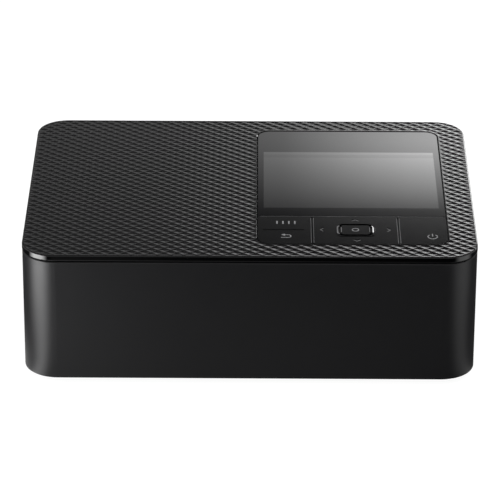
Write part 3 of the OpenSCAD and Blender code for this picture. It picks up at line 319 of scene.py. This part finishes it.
def glass_material():
    """Black window glass, with the brighter display area under it."""
    m = varied("panel_glass", (0.003, 0.003, 0.0035), 0.05, rough_by=0.012, grain=900, depth=0.0004)
    tree = m.node_tree
    b = tree.nodes["Principled BSDF"]
    base = b.inputs["Base Color"].links[0].from_socket
    at = tree.nodes.new("ShaderNodeTexCoord")
    xyz = tree.nodes.new("ShaderNodeSeparateXYZ")
    tree.links.new(at.outputs["Object"], xyz.inputs[0])
    x, y = xyz.outputs["X"], xyz.outputs["Y"]

    def times(v, k):
        return math_node(tree, "MULTIPLY", v, k)
    window = times(within(tree, x, 0.00555, 0.077, 0.0001),
                   within(tree, y, -0.0207, 0.0343, 0.0001))
    band = times(window, within(tree, y, 0.0287, 0.0318, 0.0002))
    grey = math_node(tree, "SUBTRACT", times(window, 0.012), times(band, 0.003))
    rgb = tree.nodes.new("ShaderNodeCombineColor")
    for i in range(3):
        tree.links.new(grey, rgb.inputs[i])
    add = tree.nodes.new("ShaderNodeMix")
    add.data_type = "RGBA"
    add.blend_type = "ADD"
    add.inputs["Factor"].default_value = 1.0
    tree.links.new(base, add.inputs["A"])
    tree.links.new(rgb.outputs[0], add.inputs["B"])
    tree.links.new(add.outputs["Result"], b.inputs["Base Color"])
    shine = math_node(tree, "ADD", times(window, 0.55), 0.285)
    shine = math_node(tree, "SUBTRACT", shine, times(band, 0.16))
    tree.links.new(shine, b.inputs["Specular IOR Level"])
    return m


# ---------- meshes ----------

def add_object(name, mesh, mat, body):
    o = bpy.data.objects.new(name, mesh)
    scene.collection.objects.link(o)
    mesh.materials.append(mat)
    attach(o, body)
    return o


def smooth(o, angle=35):
    o.data.shade_smooth()
    o.data.set_sharp_from_angle(angle=math.radians(angle))


def soften(name, width, level=None, segments=2):
    """Small rounded edges on a CAD node as a modifier; level keeps to edges at that height (mm)."""
    o = nodes[name]
    mesh = o.data
    mod = o.modifiers.new("edge", "BEVEL")
    mod.width = width * MM
    mod.segments = segments
    if level is None:
        mod.limit_method = "ANGLE"
        mod.angle_limit = math.radians(40)
        mod.use_clamp_overlap = True
        return
    bm = bmesh.new()
    bm.from_mesh(mesh)
    on = [len(e.link_faces) == 2 and all(abs(v.co.z - level * MM) < 1e-6 for v in e.verts)
          and e.calc_face_angle() > 0.7 for e in bm.edges]
    bm.free()
    mesh.attributes.new("bevel_weight_edge", "FLOAT", "EDGE").data.foreach_set(
        "value", np.array(on, np.float32))
    mod.limit_method = "WEIGHT"
    mod.use_clamp_overlap = False


def away(x, y, w, d, r):
    """Distance from the outline of a rounded rectangle about the origin, negative inside."""
    qx, qy = np.abs(x) - (w / 2 - r), np.abs(y) - (d / 2 - r)
    return np.hypot(np.maximum(qx, 0), np.maximum(qy, 0)) + np.minimum(np.maximum(qx, qy), 0) - r


def lid_skin(mat):
    """The lid's upper face as a lattice of raised ridges with diamond pits, cut to its outline."""
    px, py = 5.20, 4.245            # pitch of the lattice
    n, cells = 8, 35                # points per pitch, pitches each way from the middle
    crest_s, crest_t = 0.553, 0.38  # where the ridges run in the lattice's two directions
    depth, rim = 0.32, 1.2          # scale of the pits' depth, flat rim along the outline
    steep, hollow = 1.25, 1.137     # slope against the other direction's, flatter pit bottoms
    crossing = 12.8                 # how sharply the two directions' ridges meet
    outer, hole_at, hole = (181.2, 132.0, 12.3), (41.3, 0.65), (77.5, 111.2, 5.95)
    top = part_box("top_cover")[1].z / MM

    def inside(x, y):
        return np.maximum(away(x, y, *outer), -away(x - hole_at[0], y - hole_at[1], *hole))
    k = np.arange(-cells * n, cells * n + 1) / n
    s, t = np.meshgrid(k, k, indexing="ij")
    x, y = (s + t) * px / 2, (s - t) * py / 2
    d = inside(x, y)
    keep = d < 0.72
    # Points just outside, up to that far, move onto the outline
    e = 1e-3
    for _ in range(4):
        g = inside(x, y)
        gx = (inside(x + e, y) - g) / e
        gy = (inside(x, y + e) - g) / e
        out = (g > 0) & keep
        x = np.where(out, x - g * gx, x)
        y = np.where(out, y - g * gy, y)
    # Rounded ridges in both directions
    a, b = (2 * np.abs(v - np.round(v)) for v in (s - crest_s, t - crest_t))
    a, b = np.sqrt(a * a + 0.033) - 0.182, steep * (np.sqrt(b * b + 0.002) - 0.045)
    low = -np.log(np.exp(-crossing * a) + np.exp(-crossing * b)) / crossing
    low = hollow * (1 - np.exp(-low / hollow))
    z = top - depth * np.clip(low, 0, None) * step(inside(x, y), 0.0, -rim)

    # Faces with a corner inside the outline and all their points kept
    def corners(v, join):
        return join.reduce([v[:-1, :-1], v[1:, :-1], v[:-1, 1:], v[1:, 1:]])
    m = len(k)
    i, j = np.nonzero(corners(d < 0, np.logical_or) & corners(keep, np.logical_and))
    quad = np.stack([i * m + j, i * m + j + 1, (i + 1) * m + j + 1, (i + 1) * m + j], -1)
    used, index = np.unique(quad, return_inverse=True)
    co = np.stack([x.ravel()[used], y.ravel()[used], z.ravel()[used]], -1) * MM
    mesh = bpy.data.meshes.new("lid_texture")
    mesh.from_pydata(co.tolist(), [], index.reshape(-1, 4).tolist())
    mesh.validate()
    bm = bmesh.new()
    bm.from_mesh(mesh)
    bmesh.ops.recalc_face_normals(bm, faces=bm.faces)
    if sum(f.normal.z for f in bm.faces) < 0:
        bmesh.ops.reverse_faces(bm, faces=bm.faces)
    bm.to_mesh(mesh)
    bm.free()
    mesh.shade_smooth()
    return add_object("lid_texture", mesh, mat, "case")


def lid_body(mat):
    """The rest of the top cover: its band, lip, bosses and panel opening."""
    mesh = nodes["top_cover"].data.copy()
    mesh.materials.clear()
    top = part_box("top_cover")[1].z
    bm = bmesh.new()
    bm.from_mesh(mesh)
    flat = [f for f in bm.faces if f.normal.z > 0.99 and min(v.co.z for v in f.verts) > top - 1e-5]
    bmesh.ops.delete(bm, geom=flat, context="FACES_ONLY")
    bm.to_mesh(mesh)
    bm.free()
    o = add_object("lid_band", mesh, mat, "case")
    smooth(o)
    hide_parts("top_cover")


def outline_solid(name, loops, z0, z1, mat, body, bevel=0.0):
    """Key or panel detail: a solid from 2-D outlines in mm, from z0 to z1."""
    bm = bmesh.new()
    for loop in loops:
        verts = [bm.verts.new((x * MM, y * MM, z0 * MM)) for x, y in loop]
        face = bm.faces.new(verts)
        if face.normal.z < 0:
            face.normal_flip()
        new = bmesh.ops.extrude_face_region(bm, geom=[face])
        top = [v for v in new["geom"] if isinstance(v, bmesh.types.BMVert)]
        bmesh.ops.translate(bm, verts=top, vec=(0, 0, (z1 - z0) * MM))
    bmesh.ops.recalc_face_normals(bm, faces=bm.faces)
    if bevel:
        bmesh.ops.bevel(bm, geom=list(bm.edges), offset=bevel * MM, segments=1, affect="EDGES")
    mesh = bpy.data.meshes.new(name)
    bm.to_mesh(mesh)
    bm.free()
    add_object(name, mesh, mat, body)


def pen(points, width):
    """Outline of a line drawn with a round-ended pen, its bends mitred."""
    pts = [Vector(p) for p in points]
    ways = [(q - p).normalized() for p, q in zip(pts, pts[1:])]
    side = [Vector((-d.y, d.x)) for d in ways]
    left, right = [], []
    for i, p in enumerate(pts):
        a, b = side[max(i - 1, 0)], side[min(i, len(side) - 1)]
        m = (a + b).normalized()
        m *= width / 2 / max(0.4, m.dot(a))
        left.append(p + m)
        right.append(p - m)

    def cap(p, way):
        turn = math.degrees(math.atan2(way.y, way.x))
        return [Vector(q) for q in arc(p.x, p.y, width / 2, turn + 60, turn - 60, 5)]
    return left + cap(pts[-1], ways[-1]) + right[::-1] + cap(pts[0], -ways[0])


def arc(cx, cy, r, a0, a1, n=24):
    return [(cx + r * math.cos(math.radians(a)), cy + r * math.sin(math.radians(a)))
            for a in np.linspace(a0, a1, n)]


def ridge(name, path, profile, mat, body):
    """Low ridge along a path in mm: profile points are (sideways, height above the panel)."""
    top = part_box("display_glass")[1].z / MM
    bm = bmesh.new()
    pts = [Vector(p) for p in path]
    rows = []
    for i, p in enumerate(pts):
        way = (pts[min(i + 1, len(pts) - 1)] - pts[max(i - 1, 0)]).normalized()
        out = Vector((-way.y, way.x))
        rows.append([bm.verts.new(((p.x + out.x * a) * MM, (p.y + out.y * a) * MM, (top + h) * MM))
                     for a, h in profile])
    for r, q in zip(rows, rows[1:]):
        for k in range(len(profile) - 1):
            bm.faces.new((r[k], r[k + 1], q[k + 1], q[k]))
    bm.faces.new(rows[0])
    bm.faces.new(rows[-1][::-1])
    bmesh.ops.recalc_face_normals(bm, faces=bm.faces)
    if sum(f.normal.z for f in bm.faces) < 0:
        bmesh.ops.reverse_faces(bm, faces=bm.faces)
    mesh = bpy.data.meshes.new(name)
    bm.to_mesh(mesh)
    bm.free()
    add_object(name, mesh, mat, body)


def sign_marks(top, ink):
    """Printed signs: four plain bars for the menu, back arrow, power sign."""
    print_z = (top - 0.02, top + 0.03)
    bars = [pen([(x, -33.6), (x, -35.8)], 0.62) for x in (10.9, 13.3, 15.7, 18.1)]
    outline_solid("menu_mark", bars, *print_z, ink, "menu_back_key")
    back = [pen([(14.2, -46.2), (15.3, -46.2)] + arc(15.3, -47.4, 1.2, 75, -75, 8)
                + [(15.3, -48.6), (12.7, -48.6)], 0.42),
            [(12.5, -46.2), (14.1, -47.2), (14.1, -45.2)]]
    outline_solid("back_mark", back, *print_z, ink, "menu_back_key")
    power = [pen(arc(73.3, -47.3, 1.9, 130, 410, 26), 0.42),
             pen([(73.3, -46.8), (73.3, -44.8)], 0.45)]
    outline_solid("power_mark", power, *print_z, ink, "power_key")


def confirm_marks(top, ink, relief, painted_shade, edge):
    """Confirm key: a raised pad with a ring, two curved guards and a near-black band round it,
    painted shade in the channel.
    """
    cx, cy, corner = 42.5, -41.5, 1.2
    pad = [(cx + sx * 4.75 + corner * math.cos(a), cy + sy * 3.1 + corner * math.sin(a))
           for sx, sy, a0 in ((1, 1, 0), (-1, 1, 90), (-1, -1, 180), (1, -1, 270))
           for a in np.radians(np.linspace(a0, a0 + 90, 6))]
    outline_solid("confirm_pad", [pad], top - 0.02, top + 0.14, relief, "ok_key", bevel=0.1)
    ring = [pen(arc(cx, cy, 1.3, a, a + 178, 16), 0.4) for a in (0, 180)]
    outline_solid("confirm_mark", ring, top + 0.1, top + 0.17, ink, "ok_key")
    # Guards: the right one slopes down and shines, the left one is a narrow ridge in the light grey
    # edge colour, a painted highlight
    for key, side, wide, outer, mat, line in (("left", -1, 0.6, 0.3, edge, 0.28),
                                              ("right", 1, 1.05, 0.01, relief, 0.2)):
        bend = [(side * x + 42.45, y - 41.8) for x, y in
                arc(5.6, 2.3, 1.3, 60, 0, 5) + arc(5.6, -2.3, 1.3, 0, -60, 5)]
        profile = [(-0.02 * side, -0.05), (0.0, 0.35), ((wide - 0.02) * side, outer),
                   (wide * side, -0.05)]
        ridge("guard_" + key, bend, profile, mat, "nav_key")
        # Light grey strips on the pad's two sides: painted highlights on its bevels
        x = cx + side * 5.7
        outline_solid("confirm_painted_highlight_" + key, [pen([(x, -43.6), (x, -39.4)], line)],
                      top + 0.1, top + 0.16, edge, "ok_key")
    # Near-black band in two halves round the pad, painted shade in the channel: half width, corner
    # radius, half depths
    ring_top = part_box("nav_key")[1].z / MM
    half, r, mid_x, mid_y = 6.45, 2.0, 42.45, -41.85
    for key, low, deep in (("far", 1, 5.15), ("near", -1, 4.75)):
        y = mid_y + low * (deep - r)
        path = (arc(mid_x - half + r, y, r, 180, 180 - low * 90, 6)
                + arc(mid_x + half - r, y, r, 90 * low, 0, 6))
        outline_solid("painted_shade_band_" + key, [pen(path, 1.0)], top - 0.05, ring_top + 0.03, painted_shade,
                      "nav_key")


def line_marks(top, relief, lit, painted_shade, edge):
    """Arrows, divider and edges: thin lines on the keys and the glass, coloured as painted shade
    and painted highlights.
    """
    def cut_line(name, line, body, width, glow, shade):
        """Cut line drawn in painted light: a near-black strip of painted shade on its far side,
        shade mm away, and a near side in glow, light grey as a painted highlight on the arrows.
        """
        for part, mat, lift, high in (("painted_shade", painted_shade, shade, 0.02), ("lit", glow, -0.1, 0.03)):
            outline_solid(name + "_" + part, [pen([(x, y + lift) for x, y in line], width)],
                          top - 0.02, top + high, mat, body)
    # Arrows: each a near-black strip of painted shade behind a light grey strip of painted
    # highlight
    for key, cx, cy, turn in (("up", 42.6, -32.4, 90), ("down", 42.9, -51.2, -90),
                              ("left", 28.9, -41.3, 180), ("right", 55.9, -41.3, 0)):
        c, s = round(math.cos(math.radians(turn))), round(math.sin(math.radians(turn)))
        tip = [(cx + c * a - s * b, cy + s * a + c * b)
               for a, b in ((-0.5, 1.25), (0.5, 0), (-0.5, -1.25))]
        cut_line("arrow_" + key, tip, "nav_key", 0.5, lit, 0.7)
    # Divider: a near-black strip of painted shade behind a key-coloured strip
    cut_line("key_divider", [(5.4, -41.9), (21.6, -41.9)], "menu_back_key", 0.4, relief, 0.5)
    # Light grey strips beside the gaps and along the glass: painted highlights on the moulded edges
    for name, body, x in (("menu_side", "menu_back_key", 24.62),
                          ("nav_left_side", "nav_key", 25.62),
                          ("nav_right_side", "nav_key", 59.42),
                          ("power_side", "power_key", 60.38)):
        outline_solid("painted_highlight_" + name, [pen([(x, -53.6), (x, -30.6)], 0.14)], top - 0.02,
                      top + 0.04, edge, body)
    outline_solid("painted_highlight_glass", [pen([(4.2, -28.9), (78.4, -28.9)], 0.12)], top - 0.02,
                  top + 0.03, edge, "case")


def dress():
    """Every node's and piece's material, the new pieces, and the small rounded edges."""
    satin = varied("case_satin", (0.010, 0.010, 0.011), 0.40, spec=0.30, rough_by=0.04,
                   grain=7000, depth=0.006)
    paint(["front_cover", "case_body", "side_door", "terminal_cover"], satin)
    inner = varied("inner_matt", (0.014, 0.014, 0.0148), 0.6, spec=0.3, grain=4000, depth=0.012)
    paint(["front_frame", "bottom_case", "paper_bay", "panel_frame", "battery_terminals",
           "power_inlet"], inner)
    gloss = varied("lid_gloss", (0.0016, 0.0016, 0.0018), 0.09, spec=0.40, rough_by=0.02,
                   grain=3000, depth=0.0008)
    skin = varied("lid_skin", (0.0032, 0.0032, 0.0034), 0.15, spec=0.36, rough_by=0.02,
                  grain=6000, depth=0.003)
    lid_body(gloss)
    lid_skin(skin)
    paint(["display_glass"], glass_material())
    keys = varied("key_gloss", (0.0083, 0.0083, 0.0086), 0.1, spec=0.13, rough_by=0.015,
                  grain=5000, depth=0.0008)
    paint(["menu_back_key", "nav_key", "ok_key", "power_key"], keys)
    ink = varied("key_ink", (0.2, 0.2, 0.205), 0.5, spec=0.3, grain=8000, depth=0.004)
    # Line colours: light grey as painted highlight and near-black as painted shade
    lit = varied("key_line_painted_highlight", (0.05, 0.05, 0.052), 0.4, spec=0.4, grain=8000, depth=0.004)
    painted_shade = varied("key_line_painted_shade", (0.0004, 0.0004, 0.0004), 0.9, spec=0.0, grain=8000, depth=0.004)
    # Light grey edge colour: painted highlight on the key edges, the glass edge, the pad's sides
    # and the left guard
    edge = varied("key_edge_painted_highlight", (0.11, 0.11, 0.113), 0.35, spec=0.4, grain=8000, depth=0.004)
    panel_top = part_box("display_glass")[1].z / MM
    sign_marks(panel_top, ink)
    confirm_marks(panel_top, ink, keys, painted_shade, edge)
    line_marks(panel_top, keys, lit, painted_shade, edge)
    paint(["lcd_module"], varied("screen", (0.05, 0.053, 0.06), 0.2))
    paint(["main_board", "port_board", "key_board"],
          varied("circuit_board", (0.02, 0.12, 0.05), 0.35, shade=0.3, patch=400, grain=2500,
                 depth=0.02))
    paint(["rubber_feet", "platen_roller", "feed_roller", "pinch_roller"],
          varied("rubber", (0.025, 0.025, 0.026), 0.8, spec=0.3, grain=6000, depth=0.02))
    paint(["paper_guides", "left_chassis_plate", "right_chassis_plate", "chassis_crossbar",
           "feed_motor", "motor_bracket", "card_slot", "host_port", "data_port"],
          varied("sheet_steel", (0.55, 0.56, 0.57), 0.34, metal=1, patch=120, grain=900, depth=0.01,
                 stretch=(1, 12, 1)))
    paint(["case_screws", "platen_shaft", "feed_shaft", "grip_roller", "head_pivot_shaft"],
          varied("shaft_steel", (0.62, 0.62, 0.63), 0.2, metal=1, grain=1500, depth=0.004,
                 stretch=(1, 1, 14)))
    paint(["roller_bushes", "platen_gear", "grip_gear", "feed_gear", "rear_idler", "front_idler",
           "take_up_gear", "clutch_idler", "supply_hub", "take_up_hub", "thermal_head"],
          varied("gear_plastic", (0.72, 0.70, 0.62), 0.45, depth=0.01))
    paint(["motor_pinion"], varied("brass", (0.68, 0.5, 0.22), 0.25, metal=1))
    paint(["head_heat_sink"], varied("aluminium", (0.66, 0.67, 0.68), 0.35, metal=1,
                                     stretch=(8, 1, 1), grain=1200, depth=0.008))
    paint(["ribbon_cassette"], varied("cassette_plastic", (0.42, 0.43, 0.45), 0.5, depth=0.012))
    paint(["supply_spool", "take_up_spool", "ribbon_film"],
          varied("ribbon_film", (0.12, 0.05, 0.13), 0.2, coat=0.4, stretch=(1, 20, 20), grain=400))
    paint(["cassette_lever"], varied("lever_plastic", (0.65, 0.25, 0.06), 0.45, depth=0.01))
    for name, o in nodes.items():
        if name != "top_cover":
            smooth(o)
    for name in ("display_glass", "menu_back_key", "nav_key", "ok_key", "power_key"):
        soften(name, 0.18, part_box(name)[1].z / MM)
    for name in ("front_cover", "case_body", "side_door"):
        soften(name, 0.12)


make_camera()
make_world()
make_floor()
make_studio()
dress()
